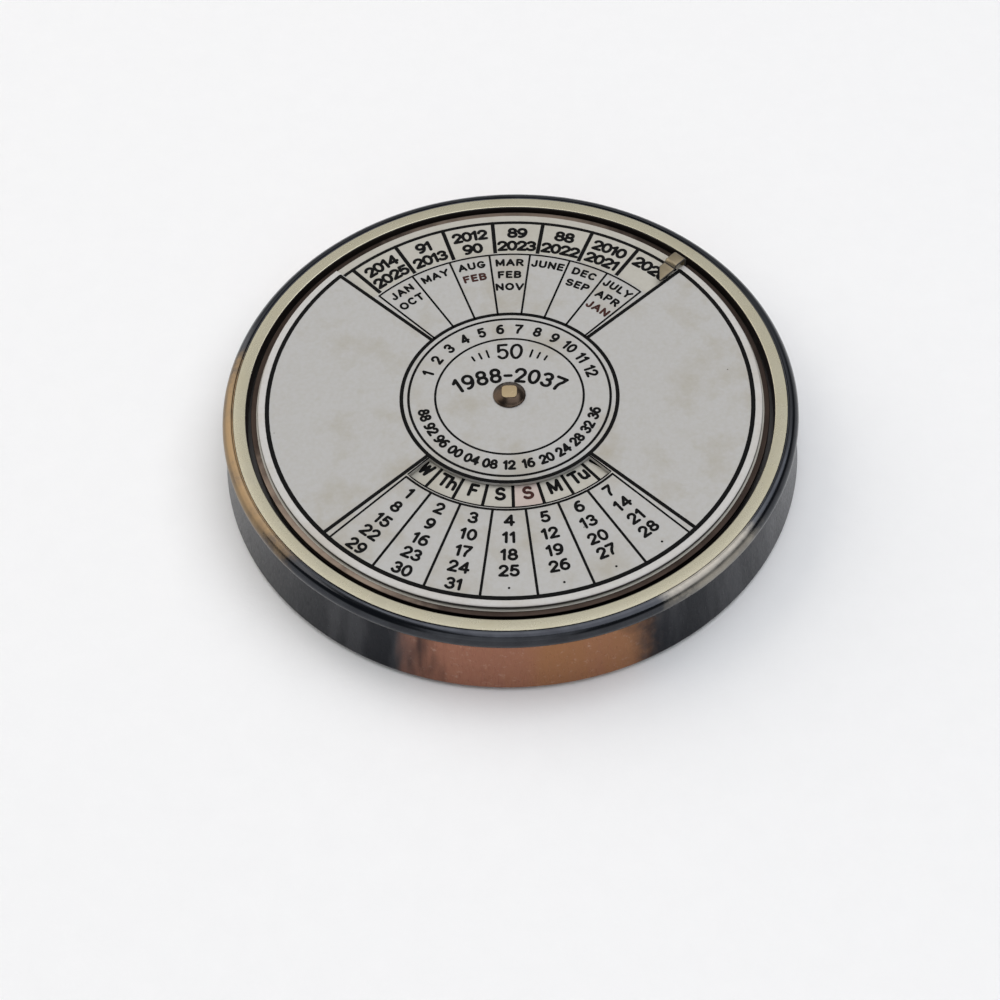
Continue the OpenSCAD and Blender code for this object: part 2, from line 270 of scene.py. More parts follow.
def printedLacquer(name, paint, stain, stainShare, roughness):
    # Sprayed lacquer on sheet, aged: nearly even, with faint brown stains and a few dark specks
    look = {"stainSize": 7, "grainSize": 0.5, "speckGap": 5, "speckRadius": 0.11, "speck": "4e4a44"}
    material, tree, shader, place = newMaterial(name, {"Specular IOR Level": 0.35})
    stains = addNode(tree, "TexNoise", {"Vector": place, "Scale": 1 / (look["stainSize"] * mm),
                                        "Detail": 7, "Roughness": 0.62})
    stained = addNode(tree, "MapRange",
                      {"Value": stains, "From Min": 0.48, "From Max": 0.75, "To Max": stainShare})
    grain = addNode(tree, "TexNoise", {"Vector": place, "Scale": 1 / (look["grainSize"] * mm), "Detail": 3})
    mottle = addNode(tree, "MapRange", {"Value": grain, "From Min": 0.35, "From Max": 0.75, "To Max": 0.22})
    skin = addNode(tree, "Mix", {"Factor": mottle, "A": paint, "B": stain}, data_type="RGBA")
    tint = addNode(tree, "Mix", {"Factor": stained, "A": skin, "B": stain}, data_type="RGBA")
    specks = addNode(tree, "TexVoronoi", {"Vector": place, "Scale": 1 / (look["speckGap"] * mm)})
    inSpeck = addNode(tree, "MapRange",
                      {"Value": specks, "From Min": look["speckRadius"] / look["speckGap"], "From Max": 0,
                       "To Max": 3})
    rare = addNode(tree, "SeparateColor", {"Color": specks.node.outputs["Color"]})
    kept = addNode(tree, "Math", {0: rare, 1: 0.72}, operation="GREATER_THAN")
    shown = addNode(tree, "Math", {0: inSpeck, 1: kept}, operation="MULTIPLY", use_clamp=True)
    specked = addNode(tree, "Mix", {"Factor": shown, "A": tint, "B": look["speck"]}, data_type="RGBA")
    rough = addNode(tree, "MapRange",
                    {"Value": stains, "To Min": roughness - 0.1, "To Max": roughness + 0.15})
    bump = addNode(tree, "Bump", {"Height": grain, "Strength": 0.1, "Distance": 0.02 * mm})
    feed(shader, {"Base Color": specked, "Roughness": rough, "Normal": bump})
    return material


def printedInk(name, ink, thin):
    # Screen ink, a little thin in places, so that its colour and gloss waver along a stroke
    patch = 0.8
    material, tree, shader, place = newMaterial(name, {"Specular IOR Level": 0.08})
    cover = addNode(tree, "TexNoise", {"Vector": place, "Scale": 1 / (patch * mm), "Detail": 4})
    bare = addNode(tree, "MapRange", {"Value": cover, "From Min": 0.5, "From Max": 0.8})
    tint = addNode(tree, "Mix", {"Factor": bare, "A": ink, "B": thin}, data_type="RGBA")
    rough = addNode(tree, "MapRange", {"Value": cover, "To Min": 0.55, "To Max": 0.8})
    feed(shader, {"Base Color": tint, "Roughness": rough})
    return material


def pressedFelt():
    # Pressed wool felt: matt dark green, mottled by matted fibres, with a soft sheen at its edge
    look = {"wool": "26382b", "fluff": "3f5544", "fibre": 0.35, "mat": 2.5}
    material, tree, shader, place = newMaterial("pressedFelt", {
        "Roughness": 1, "Sheen Weight": 0.35, "Sheen Roughness": 0.6, "Specular IOR Level": 0.1})
    fibres = addNode(tree, "TexNoise", {"Vector": place, "Scale": 1 / (look["fibre"] * mm),
                                        "Detail": 8, "Roughness": 0.75, "Distortion": 1.5})
    matted = addNode(tree, "TexNoise", {"Vector": place, "Scale": 1 / (look["mat"] * mm), "Detail": 4})
    both = addNode(tree, "Math", {0: fibres, 1: matted}, operation="MULTIPLY")
    shown = addNode(tree, "MapRange", {"Value": both, "From Min": 0.15, "From Max": 0.4})
    tint = addNode(tree, "Mix", {"Factor": shown, "A": look["wool"], "B": look["fluff"]}, data_type="RGBA")
    bump = addNode(tree, "Bump", {"Height": fibres, "Strength": 0.8, "Distance": 0.15 * mm})
    feed(shader, {"Base Color": tint, "Normal": bump})
    return material


def plainSheet(name, colour, shade, metallic, roughness, grain):
    # The sheets and castings inside: rolled, plated, cast or cut, told apart by grain size and gloss
    material, tree, shader, place = newMaterial(name, {"Metallic": metallic})
    skin = addNode(tree, "TexNoise",
                   {"Vector": place, "Scale": 1 / (grain * mm), "Detail": 6, "Roughness": 0.6})
    tint = addNode(tree, "Mix", {"Factor": skin, "A": colour, "B": shade}, data_type="RGBA")
    rough = addNode(tree, "MapRange",
                    {"Value": skin, "To Min": roughness * 0.75, "To Max": roughness * 1.25})
    bump = addNode(tree, "Bump", {"Height": skin, "Strength": 0.25, "Distance": 0.1 * grain * mm})
    feed(shader, {"Base Color": tint, "Roughness": rough, "Normal": bump})
    return material


rimBrass = polishedBrass("polishedBrass", "b4af9b", "a59f8a", 0.22, 0.34)
# the bead's dark base is painted dark reflection; its paler patches to the left (194) and front right (313)
# are painted highlights
beadBrass = polishedBrass("paintedReflectionBrass", "3f4145", "323337", 0.12, 0.24,
                          [(194, 1.02, 1.18, 0.35, "8c775b"), (313, 1.01, 1.06, 0.1, "9a958b")])
# the disc's edge ring: bare tarnished brass, painted darker still as shade, with paler patches to the left
# (224) and back (90) as painted light
discEdge = polishedBrass("bareEdgePaintedLight", "372e29", "2b2420", 0.3, 0.45,
                         [(224, 1.02, 1.19, 0.35, "776a5f"), (90, 1.02, 1.19, 0.35, "776a5f")])
wallBrass = brushedCopperBrass()
rivetBrass = turnedBrass("turnedBrass", "b7a686", "917d60", 0.3)
# the rivet head's dome in this dark brass is painted shade; its flat takes turnedBrass as a painted highlight
rivetDark = turnedBrass("paintedShadeBrass", "584b40", "352c26", 0.26)
tabBrass = turnedBrass("foldedBrass", "958b76", "716653", 0.34)
# dark cut metal for the stamped edges, used also as painted shade in the tab's crease and along its edges,
# and on the face's rolled edge
cutMetalAndShade = plainSheet("cutEdgeAndShade", "45403b", "322e2a", 0, 0.6, 0.6)
faceLacquer = printedLacquer("silverLacquer", "b4b3b0", "9f9784", 0.75, 0.45)
marginLacquer = printedLacquer("whiteLacquer", "c5c3bf", "aca392", 0.5, 0.45)
discEnamel = printedLacquer("creamEnamel", "b7b4aa", "a39d8c", 0.5, 0.4)
sundayEnamel = printedLacquer("pinkEnamel", "bfb1a9", "b0a196", 0.4, 0.4)
blackInk = printedInk("blackInk", "090909", "141414")
redInk = printedInk("redInk", "3d2522", "4e322c")
felt = pressedFelt()
trayLacquer = plainSheet("blackLacquer", "1a1715", "2a2420", 0, 0.35, 1.5)
zincPlate = plainSheet("zincPlate", "a4a6a8", "8b8d90", 1, 0.35, 2.0)
castIron = plainSheet("castIron", "3c3c3e", "2a2a2b", 0.9, 0.7, 0.8)
bluedSteel = plainSheet("bluedSteel", "4a5468", "3a4152", 1, 0.3, 1.2)
nylonSheet = plainSheet("nylonSheet", "dbd8cc", "cfcbbd", 0, 0.5, 0.6)
print("materials made")


view = {"elevation": 53.78, "azimuth": 2.38, "roll": -2.70, "lens": 69.84, "shift": -0.003,
        "place": (0.00522, -0.16142, 0.20811)}


def placeCamera():
    up, across, roll = (math.radians(view[k]) for k in ("elevation", "azimuth", "roll"))
    back = Vector((math.sin(across) * math.cos(up), -math.cos(across) * math.cos(up), math.sin(up)))
    right = Vector((math.cos(across), math.sin(across), 0))
    level = back.cross(right)
    rightRolled = math.cos(roll) * right + math.sin(roll) * level
    upRolled = -math.sin(roll) * right + math.cos(roll) * level
    camera = addObject("camera", bpy.data.cameras.new("camera"))
    turned = Matrix((rightRolled, upRolled, back)).transposed().to_4x4()
    camera.matrix_world = Matrix.Translation(view["place"]) @ turned
    camera.data.lens = view["lens"]
    camera.data.sensor_width = 36
    camera.data.shift_x = view["shift"]
    camera.data.clip_start = 0.01
    bpy.context.scene.camera = camera


studio = {
    "room": "52575e", "panel": "e7e7e7", "panelAim": (0, 0.59, 0.81), "panelReach": (40, 18),
    "walls": "f5f5f4", "wallReach": (24, 8),  # where the pale walls end above the floor, in degrees
    "lamps": [  # name, where it hangs, size in metres, power in watts, colour
        ("keyBox", (-0.95, 0.55, 0.85), 1.3, 8.5, "fff8f0"),
        ("fillBox", (0.42, 0.05, 1.38), 1.6, 14.5, "f9faff"),
        ("frontBox", (-0.1, -1.25, 0.9), 1.2, 4, "ffffff"),
    ],
    "floor": "f8f8f7", "floorSize": 1.6,
}


def lightStage():
    scene = bpy.context.scene
    scene.view_settings.view_transform = "Standard"
    world = bpy.data.worlds.new("studio")
    scene.world = world
    world.use_nodes = True
    tree = world.node_tree
    # a dim room with one broad soft panel high behind the object
    place = addNode(tree, "TexCoord", {}, "Generated")
    facing = addNode(tree, "VectorMath", {0: place, 1: studio["panelAim"]}, operation="DOT_PRODUCT")
    outside, inside = (math.cos(math.radians(k)) for k in studio["panelReach"])
    lit = addNode(tree, "MapRange", {"Value": facing, "From Min": outside, "From Max": inside},
                  interpolation_type="SMOOTHSTEP")
    ceiling = addNode(tree, "Mix", {"Factor": lit, "A": studio["room"], "B": studio["panel"]},
                      data_type="RGBA")
    # pale walls low down as a background: seen and mirrored, without lighting the object
    height = addNode(tree, "SeparateXYZ", {"Vector": place}, "Z")
    top, low = (math.sin(math.radians(k)) for k in studio["wallReach"])
    walls = addNode(tree, "MapRange", {"Value": height, "From Min": top, "From Max": low},
                    interpolation_type="SMOOTHSTEP")
    rays = addNode(tree, "LightPath", {}).node.outputs
    mirrored = addNode(tree, "Math", {0: rays["Is Glossy Ray"], 1: rays["Is Transmission Ray"]},
                       operation="MAXIMUM")
    looked = addNode(tree, "Math", {0: rays["Is Camera Ray"], 1: mirrored}, operation="MAXIMUM")
    share = addNode(tree, "Math", {0: walls, 1: looked}, operation="MULTIPLY")
    sky = addNode(tree, "Mix", {"Factor": share, "A": ceiling, "B": studio["walls"]}, data_type="RGBA")
    feed(tree.nodes["Background"], {"Color": sky})
    for name, hung, size, power, colour in studio["lamps"]:
        lamp = bpy.data.lights.new(name, "AREA")
        lamp.shape = "SQUARE"
        lamp.size = size
        lamp.energy = power
        lamp.color = linear(colour)[:3]
        holder = addObject(name, lamp)
        holder.location = hung
        holder.rotation_euler = (-Vector(hung)).to_track_quat("-Z", "Y").to_euler()


def layFloor():
    # matt paper sweep, with a fibre grain too faint to show as a pattern
    half = studio["floorSize"] / 2
    mesh = bpy.data.meshes.new("floor")
    corners = [(-half, -half, 0), (half, -half, 0), (half, half, 0), (-half, half, 0)]
    mesh.from_pydata(corners, [], [(0, 1, 2, 3)])
    floor = addObject("floor", mesh)
    mesh.materials.append(plainSheet("paperSweep", studio["floor"], "f5f5f4", 0, 0.8, 4))


placeCamera()
lightStage()
layFloor()
print("stage set")


caseSegments = 384
rim = {"innerRadius": 34.65, "landHeight": 10.5, "lipRound": 0.2, "paintedShadeLip": 0.1, "grooveCentre": 36.45,
       "grooveRadius": 0.15, "beadCentre": (36.6, 9.35), "beadRadius": 1.25, "seat": 8.4,
       "channel": (36.72, 37.38), "channelTop": 9.3}


def buildRim():
    # one turned section: half-round bead, fine groove, flat land, and a channel below that grips the wall
    size, land, seat = rim["beadRadius"], rim["landHeight"], rim["seat"]
    groove, inner = rim["grooveRadius"], rim["innerRadius"]
    channelIn, channelOut = rim["channel"]
    low = -math.degrees(math.acos((channelOut - rim["beadCentre"][0]) / size))
    outline = bow(rim["beadCentre"], (size, size), low, 90, 44)
    outline += bow((rim["grooveCentre"], land), (groove, groove), 0, -180, 8)
    lip = [(inner, land, rim["lipRound"]), (inner, seat, 0.1)]
    outline += rounded([outline[-1], *lip, (channelIn, seat)], 6)[1:]
    outline += [(channelIn, rim["channelTop"]), (channelOut, rim["channelTop"])]

    def pick(side):
        reach = math.hypot(*side.center[:2]) / mm
        if reach > rim["grooveCentre"] - groove:
            return 1
        return 2 if reach < inner + rim["paintedShadeLip"] else 0  # the inner lip takes the tray's black lacquer as painted shade

    addPiece("rim", *turn(outline, caseSegments), [rimBrass, beadBrass, trayLacquer], "case",
             "polished_brass", ["rim_ring"], 40, pick)


wall = {"topRadius": 37.35, "footRadius": 38.45, "lipRadius": 35.05, "sheet": 0.6, "top": 9.27,
        "bend": 8.37, "under": 0.4, "footRound": 0.5}


def buildWall():
    sheet, under = wall["sheet"], wall["under"]
    foot = wall["footRound"]
    outline = bow((wall["footRadius"] - foot, under + foot), (foot, foot), -90, 8, 9)
    outline += rounded([
        (wall["topRadius"], wall["bend"]), (wall["topRadius"], wall["top"]),
        (wall["topRadius"] - sheet, wall["top"]), (wall["topRadius"] - sheet, wall["bend"]),
        (wall["footRadius"] - sheet, under + sheet, 0.15), (wall["lipRadius"], under + sheet, 0.12),
        (wall["lipRadius"], under, 0.12)], 5)
    addPiece("wall", *turn(outline, caseSegments), [wallBrass], "case", "brushed_brass", ["case_wall"], 40)


feltPad = {"radius": 34.65, "thickness": 1.0, "edgeRound": 0.25, "ragged": 0.06, "segments": 240}


def buildFelt():
    radius, thick = feltPad["radius"], feltPad["thickness"]
    outline = rounded([(0, 0), (radius, 0, feltPad["edgeRound"]), (radius, thick, 0.1), (0, thick)])
    rings = [share * radius for share in (0.25, 0.5, 0.75, 0.95)]
    outline = outline[:1] + [(r, 0) for r in rings] + outline[1:-1] + [(r, thick) for r in reversed(rings)]
    outline.append((0, thick))
    points, faces = turn(outline, feltPad["segments"])
    ragged = []
    for x, y, z in points:  # a cut edge that wavers a little, inside the size
        turned = math.atan2(y, x)
        wave = (math.sin(23 * turned) + math.sin(41 * turned + 1) + math.sin(67 * turned + 2)) / 3 - 1
        shrink = 1 + feltPad["ragged"] * wave / radius
        ragged.append((x * shrink, y * shrink, z))
    piece = addPiece("felt", ragged, faces, [felt], "case", "felt", ["felt_pad"], 60)


def finishInside():
    # the hidden pieces keep their CAD shapes
    finishes = {"base_plate": zincPlate, "rivet_washer": zincPlate, "weight_slug": castIron,
                "dial_tray": trayLacquer, "hub_bush": rivetBrass, "disc_spring": bluedSteel,
                "lower_slip_washer": nylonSheet, "upper_slip_washer": nylonSheet}
    for name, material in finishes.items():
        nodes[name].data.materials.clear()
        nodes[name].data.materials.append(material)


buildRim()
buildWall()
buildFelt()
finishInside()
print("case built")


def plateGrid(radii, angles, place, inside):
    # a plate on a polar grid: place gives a point's (x, y, top, underside), inside tells the solid cells
    count = len(angles)
    spots = [place(radius, degrees) for radius in radii for degrees in angles]
    below = len(spots)
    points = [(x, y, top) for x, y, top, _ in spots] + [(x, y, under) for x, y, _, under in spots]
    solid = set()
    for row in range(len(radii) - 1):
        for column in range(count):
            after = angles[(column + 1) % count] + (360 if column == count - 1 else 0)
            if inside((radii[row] + radii[row + 1]) / 2, (angles[column] + after) / 2):
                solid.add((row, column))
    faces = []
    for row, column in sorted(solid):
        after = (column + 1) % count
        ring = [row * count + column, row * count + after, (row + 1) * count + after,
                (row + 1) * count + column]
        faces.append(ring)
        faces.append([below + k for k in reversed(ring)])
        neighbours = [(row - 1, column), (row, after), (row + 1, column), (row, (column - 1) % count)]
        for side, other in enumerate(neighbours):
            if other not in solid:
                a, b = ring[side], ring[(side + 1) % 4]
                faces.append([a, b, below + b, below + a])
    kept = sorted(set(k for f in faces for k in f))
    number = {old: new for new, old in enumerate(kept)}
    return [points[k] for k in kept], [[number[k] for k in f] for f in faces]


def edgeSteps(radius, size, steps=5):
    # radii that close in on a rounded edge
    return [radius - size + size * math.sin(math.radians(90 * step / steps)) for step in range(steps + 1)]


def edgeDrop(radius, outer, size):
    beyond = max(0, radius - (outer - size))
    return size - math.sqrt(max(0, size ** 2 - beyond ** 2))


dialSteps = 288
dialAngles = [360 * k / dialSteps for k in range(dialSteps)]
disc = {"radius": 34.05, "bore": 3.05, "under": 9.3, "top": 10.1, "edgeRound": 0.12, "printedTo": 33.32,
        "slotFrom": 33.27, "slotWidth": 1.96, "slotAngle": 45.2}


def buildDisc():
    # enamelled on top up to a bare ring at its edge, where a slot lets the tab through; the ring's colour
    # carries painted shade and painted light
    edge, slot = disc["edgeRound"], disc["slotFrom"]
    half = math.degrees(disc["slotWidth"] / 2 / ((slot + disc["radius"]) / 2))
    angles = dialAngles + [disc["slotAngle"] - half, disc["slotAngle"] + half]
    radii = [disc["bore"], 12, 21, 29, slot, disc["printedTo"]] + edgeSteps(disc["radius"], edge)

    def place(radius, degrees):
        drop = edgeDrop(radius, disc["radius"], edge)
        return (*polar(radius, degrees), disc["top"] - drop, disc["under"] + drop)

    def inside(radius, degrees):
        return radius < slot or abs(degrees - disc["slotAngle"]) > half

    def pick(side):
        x, y, z = side.center / mm
        return math.hypot(x, y) > disc["printedTo"] or z < disc["top"] - 0.01

    addPiece("disc", *plateGrid(radii, sorted(angles), place, inside), [discEnamel, discEdge], "disc",
             "cream_disc", ["year_disc"], pick=pick)


face = {"radius": 33.1, "under": 10.35, "top": 10.8, "edgeRound": 0.25, "dieRoll": 0.07, "marginFrom": 31.85,
        "hole": 2.66, "notchRadius": 25.6, "notchHalf": 46.5,
        "window": (14.45, 18.1), "windowHalf": 45}


def cutDepth(radius, degrees):
    # distance from a point on the plate to the nearest cut edge, negative inside a cut
    offTop = abs((degrees - 90 + 180) % 360 - 180)
    offBottom = abs((degrees - 270 + 180) % 360 - 180)
    notch = max(face["notchRadius"] - radius, math.radians(offTop - face["notchHalf"]) * radius)
    inner, outer = face["window"]
    window = max(inner - radius, radius - outer, math.radians(offBottom - face["windowHalf"]) * radius)
    return min(notch, window)


def buildFace():
    # grid lines on each cut edge and one die roll inside it; the steep faces of the rolled edge take the dark
    # cut metal, as bare metal and as painted shade
    roll, edge = face["dieRoll"], face["edgeRound"]
    inner, outer = face["window"]
    radii = [0, 8, inner - roll, inner, outer, outer + roll, 22, face["notchRadius"] - roll,
             face["notchRadius"], 29, face["marginFrom"]] + edgeSteps(face["radius"], edge)
    angles = list(dialAngles)
    for middle, half, reach in ((90, face["notchHalf"], 29), (270, face["windowHalf"], 16)):
        offset = math.degrees(roll / reach)
        for side in (-1, 1):
            angles += [middle + side * half, middle + side * (half + offset)]

    def place(radius, degrees):
        if radius == 0:  # the square hole's edge
            turned = math.radians(degrees)
            radius = face["hole"] / 2 / max(abs(math.cos(turned)), abs(math.sin(turned)))
        drop = edgeDrop(radius, face["radius"], edge)
        if radius > inner / 2 and cutDepth(radius, degrees) < roll * 0.5:
            drop = max(drop, roll * 0.8)
        return (*polar(radius, degrees), face["top"] - drop, face["under"])

    def pick(side):
        if math.hypot(*side.center[:2]) / mm <= face["marginFrom"]:
            return 0
        # faces of the rolled edge that turn away from the top are painted dark, partly as painted shade
        return 1 if side.normal.z > 0.6 else 2

    angles = sorted(set(round(a % 360, 4) for a in angles))
    plate = plateGrid(radii, angles, place, lambda radius, degrees: cutDepth(radius, degrees) > 0)
    addPiece("face", *plate, [faceLacquer, marginLacquer, cutMetalAndShade], "case", "silvered_face",
             ["face_plate"], 50, pick)


rivet = {"headRadius": 2.15, "headTop": 11.8, "seat": 10.8, "headEdge": 0.15, "facet": 1.1, "neckWidth": 2.6,
         "neckUnder": 10.35, "shankRadius": 1.2, "peenTop": 7.2, "peenRadius": 1.9, "peenUnder": 6.5,
         "segments": 96}


def buildRivet():
    seat, shank, radius = rivet["seat"], rivet["shankRadius"], rivet["headRadius"]
    rise = rivet["headTop"] - seat - rivet["headEdge"]
    ball = (radius ** 2 + rise ** 2) / (2 * rise)
    reach = math.degrees(math.asin(radius / ball))
    facet = rivet["facet"]  # a small squarish flat that the setting tool left on the dome
    middle = (0, rivet["headTop"] - ball)
    dome = bow(middle, (ball, ball), 90 - reach + 4, 90 - math.degrees(facet / ball), 10)
    dome += [(facet * 0.9, dome[-1][1] + 0.005), (0, dome[-1][1] + 0.005)]
    peenTop, peenUnder = rivet["peenTop"], rivet["peenUnder"]
    peen = peenTop - peenUnder
    tail = bow((rivet["peenRadius"] - peen, peenTop), (peen, peen), -90, 0, 6)
    outline = [(0, peenUnder), *tail, (shank, peenTop), (shank, seat)]
    edge = (radius, seat + rivet["headEdge"] + 0.05, 0.1)
    outline += rounded([(shank, seat), (radius, seat, 0.04), edge, dome[0]])[1:-1]
    outline += dome
    points, faces = turn(outline, rivet["segments"])
    for index, (x, y, z) in enumerate(points):
        reach = math.hypot(x, y)
        if 0 < reach < facet * 1.01 and z > seat:
            corner = reach / (abs(x) ** 4 + abs(y) ** 4) ** 0.25
            points[index] = (x * corner, y * corner, z)
    half = rivet["neckWidth"] / 2
    start = len(points)
    for z in (rivet["neckUnder"], seat):
        points += [(x * half, y * half, z) for x, y in ((-1, -1), (1, -1), (1, 1), (-1, 1))]
    for ring in ((3, 2, 1, 0), (4, 5, 6, 7), (0, 1, 5, 4), (1, 2, 6, 5), (2, 3, 7, 6), (3, 0, 4, 7)):
        faces.append([start + k for k in ring])

    def pick(side):  # the flat in paler brass as a painted highlight, the dome darker as painted shade
        return side.normal.z > 0.999 and side.center.z / mm > seat + rise / 2

    addPiece("rivet", points, faces, [rivetDark, rivetBrass], "case", "turned_brass", ["centre_rivet"], 8,
             pick)


tab = {"angle": 45.2, "sheet": 0.3, "width": 1.9, "footStart": 28.3, "footHeight": 9.15, "riser": 33.45,
       "humpTop": 11.65, "bend": 0.45, "drop": 31.35, "flapHeight": 11.15, "tip": 28.4,
       "taperStart": 30.2, "tipWidth": 0.3,
       "rivets": (31.8, 29.8), "rivetRadius": 0.45, "headRadius": 0.8, "headHeight": 0.12,
       "rivetSegments": 48, "corner": 0.09}  # the corner is the stamped edge's rounding


def buildTab():
    # one sheet along its own middle line, from the foot under the disc over the hump to the flap's tip
    half, thick = tab["width"] / 2, tab["sheet"] / 2
    bend, flap = tab["bend"], tab["flapHeight"]
    low = tab["humpTop"] - bend
    crease = math.degrees(math.asin((flap + thick - low) / (bend + thick)))
    line = rounded([(tab["footStart"], tab["footHeight"]), (tab["riser"], tab["footHeight"], 0.2),
                    (tab["riser"], tab["humpTop"], bend), (tab["drop"] + bend, tab["humpTop"])], 10)[:-1]
    line += bow((tab["drop"] + bend, low), (bend, bend), 90, 180 - crease, 10)
    line += [(tab["drop"] - 1.4 * thick, flap), (tab["taperStart"], flap), (tab["tip"], flap)]
    corner = tab["corner"]
    points, faces = [], []
    onFlap = len(line) - 3
    for index, here in enumerate(line):
        ahead, behind = line[min(index + 1, onFlap - 1)], line[max(index - 1, 0)]
        along = Vector((ahead[0] - behind[0], ahead[1] - behind[1])).normalized()
        if index >= onFlap:  # flat right up to the crease
            along = Vector((-1, 0))
        out = Vector((along.y, -along.x))
        left = half
        if index == len(line) - 1:
            left = tab["tipWidth"] - half
        section = rounded([(-half, -thick, corner), (left, -thick, corner), (left, thick, corner),
                           (-half, thick, corner)], 3)
        for across, deep in section:
            points.append((here[0] + out.x * deep, across, here[1] + out.y * deep))
    side = len(section)
    for row in range(len(line) - 1):
        for k in range(side):
            after = (k + 1) % side
            here, ahead = row * side, (row + 1) * side
            faces.append([here + k, here + after, ahead + after, ahead + k])
    faces.append(list(range(side)))
    faces.append(list(range((len(line) - 1) * side, len(line) * side)))
    turned = Matrix.Rotation(math.radians(tab["angle"]), 4, "Z")
    points = [tuple(turned @ Vector(p)) for p in points]

    def pick(patch):  # the stamped edges, dark partly as a painted shadow outline, and painted shade in the crease
        row, k = divmod(patch.index, side)
        return k % 8 != 3 or onFlap - 4 < row < onFlap

    addPiece("tab", points, faces, [tabBrass, cutMetalAndShade], "disc", "tab_brass", ["finger_tab"], 40, pick)
    points, faces = [], []
    under = tab["footHeight"] - thick - tab["headHeight"]
    head, shank = tab["headRadius"], tab["rivetRadius"]
    seat = under + tab["headHeight"]
    over = disc["top"] - 0.01  # filed flush and enamelled over
    for reach in tab["rivets"]:
        outline = rounded([(0, under), (head, under, 0.05), (head, seat), (shank, seat), (shank, over),
                           (0, over)])
        ring, sides = turn(outline, tab["rivetSegments"])
        shift = Vector((*polar(reach, tab["angle"]), 0))
        faces += [[k + len(points) for k in f] for f in sides]
        points += [tuple(Vector(p) + shift) for p in ring]
    addPiece("tabRivets", points, faces, [rivetBrass], "disc", "turned_brass", ["tab_rivets"])


buildDisc()
buildFace()
buildRivet()
buildTab()
print("dial plates built")


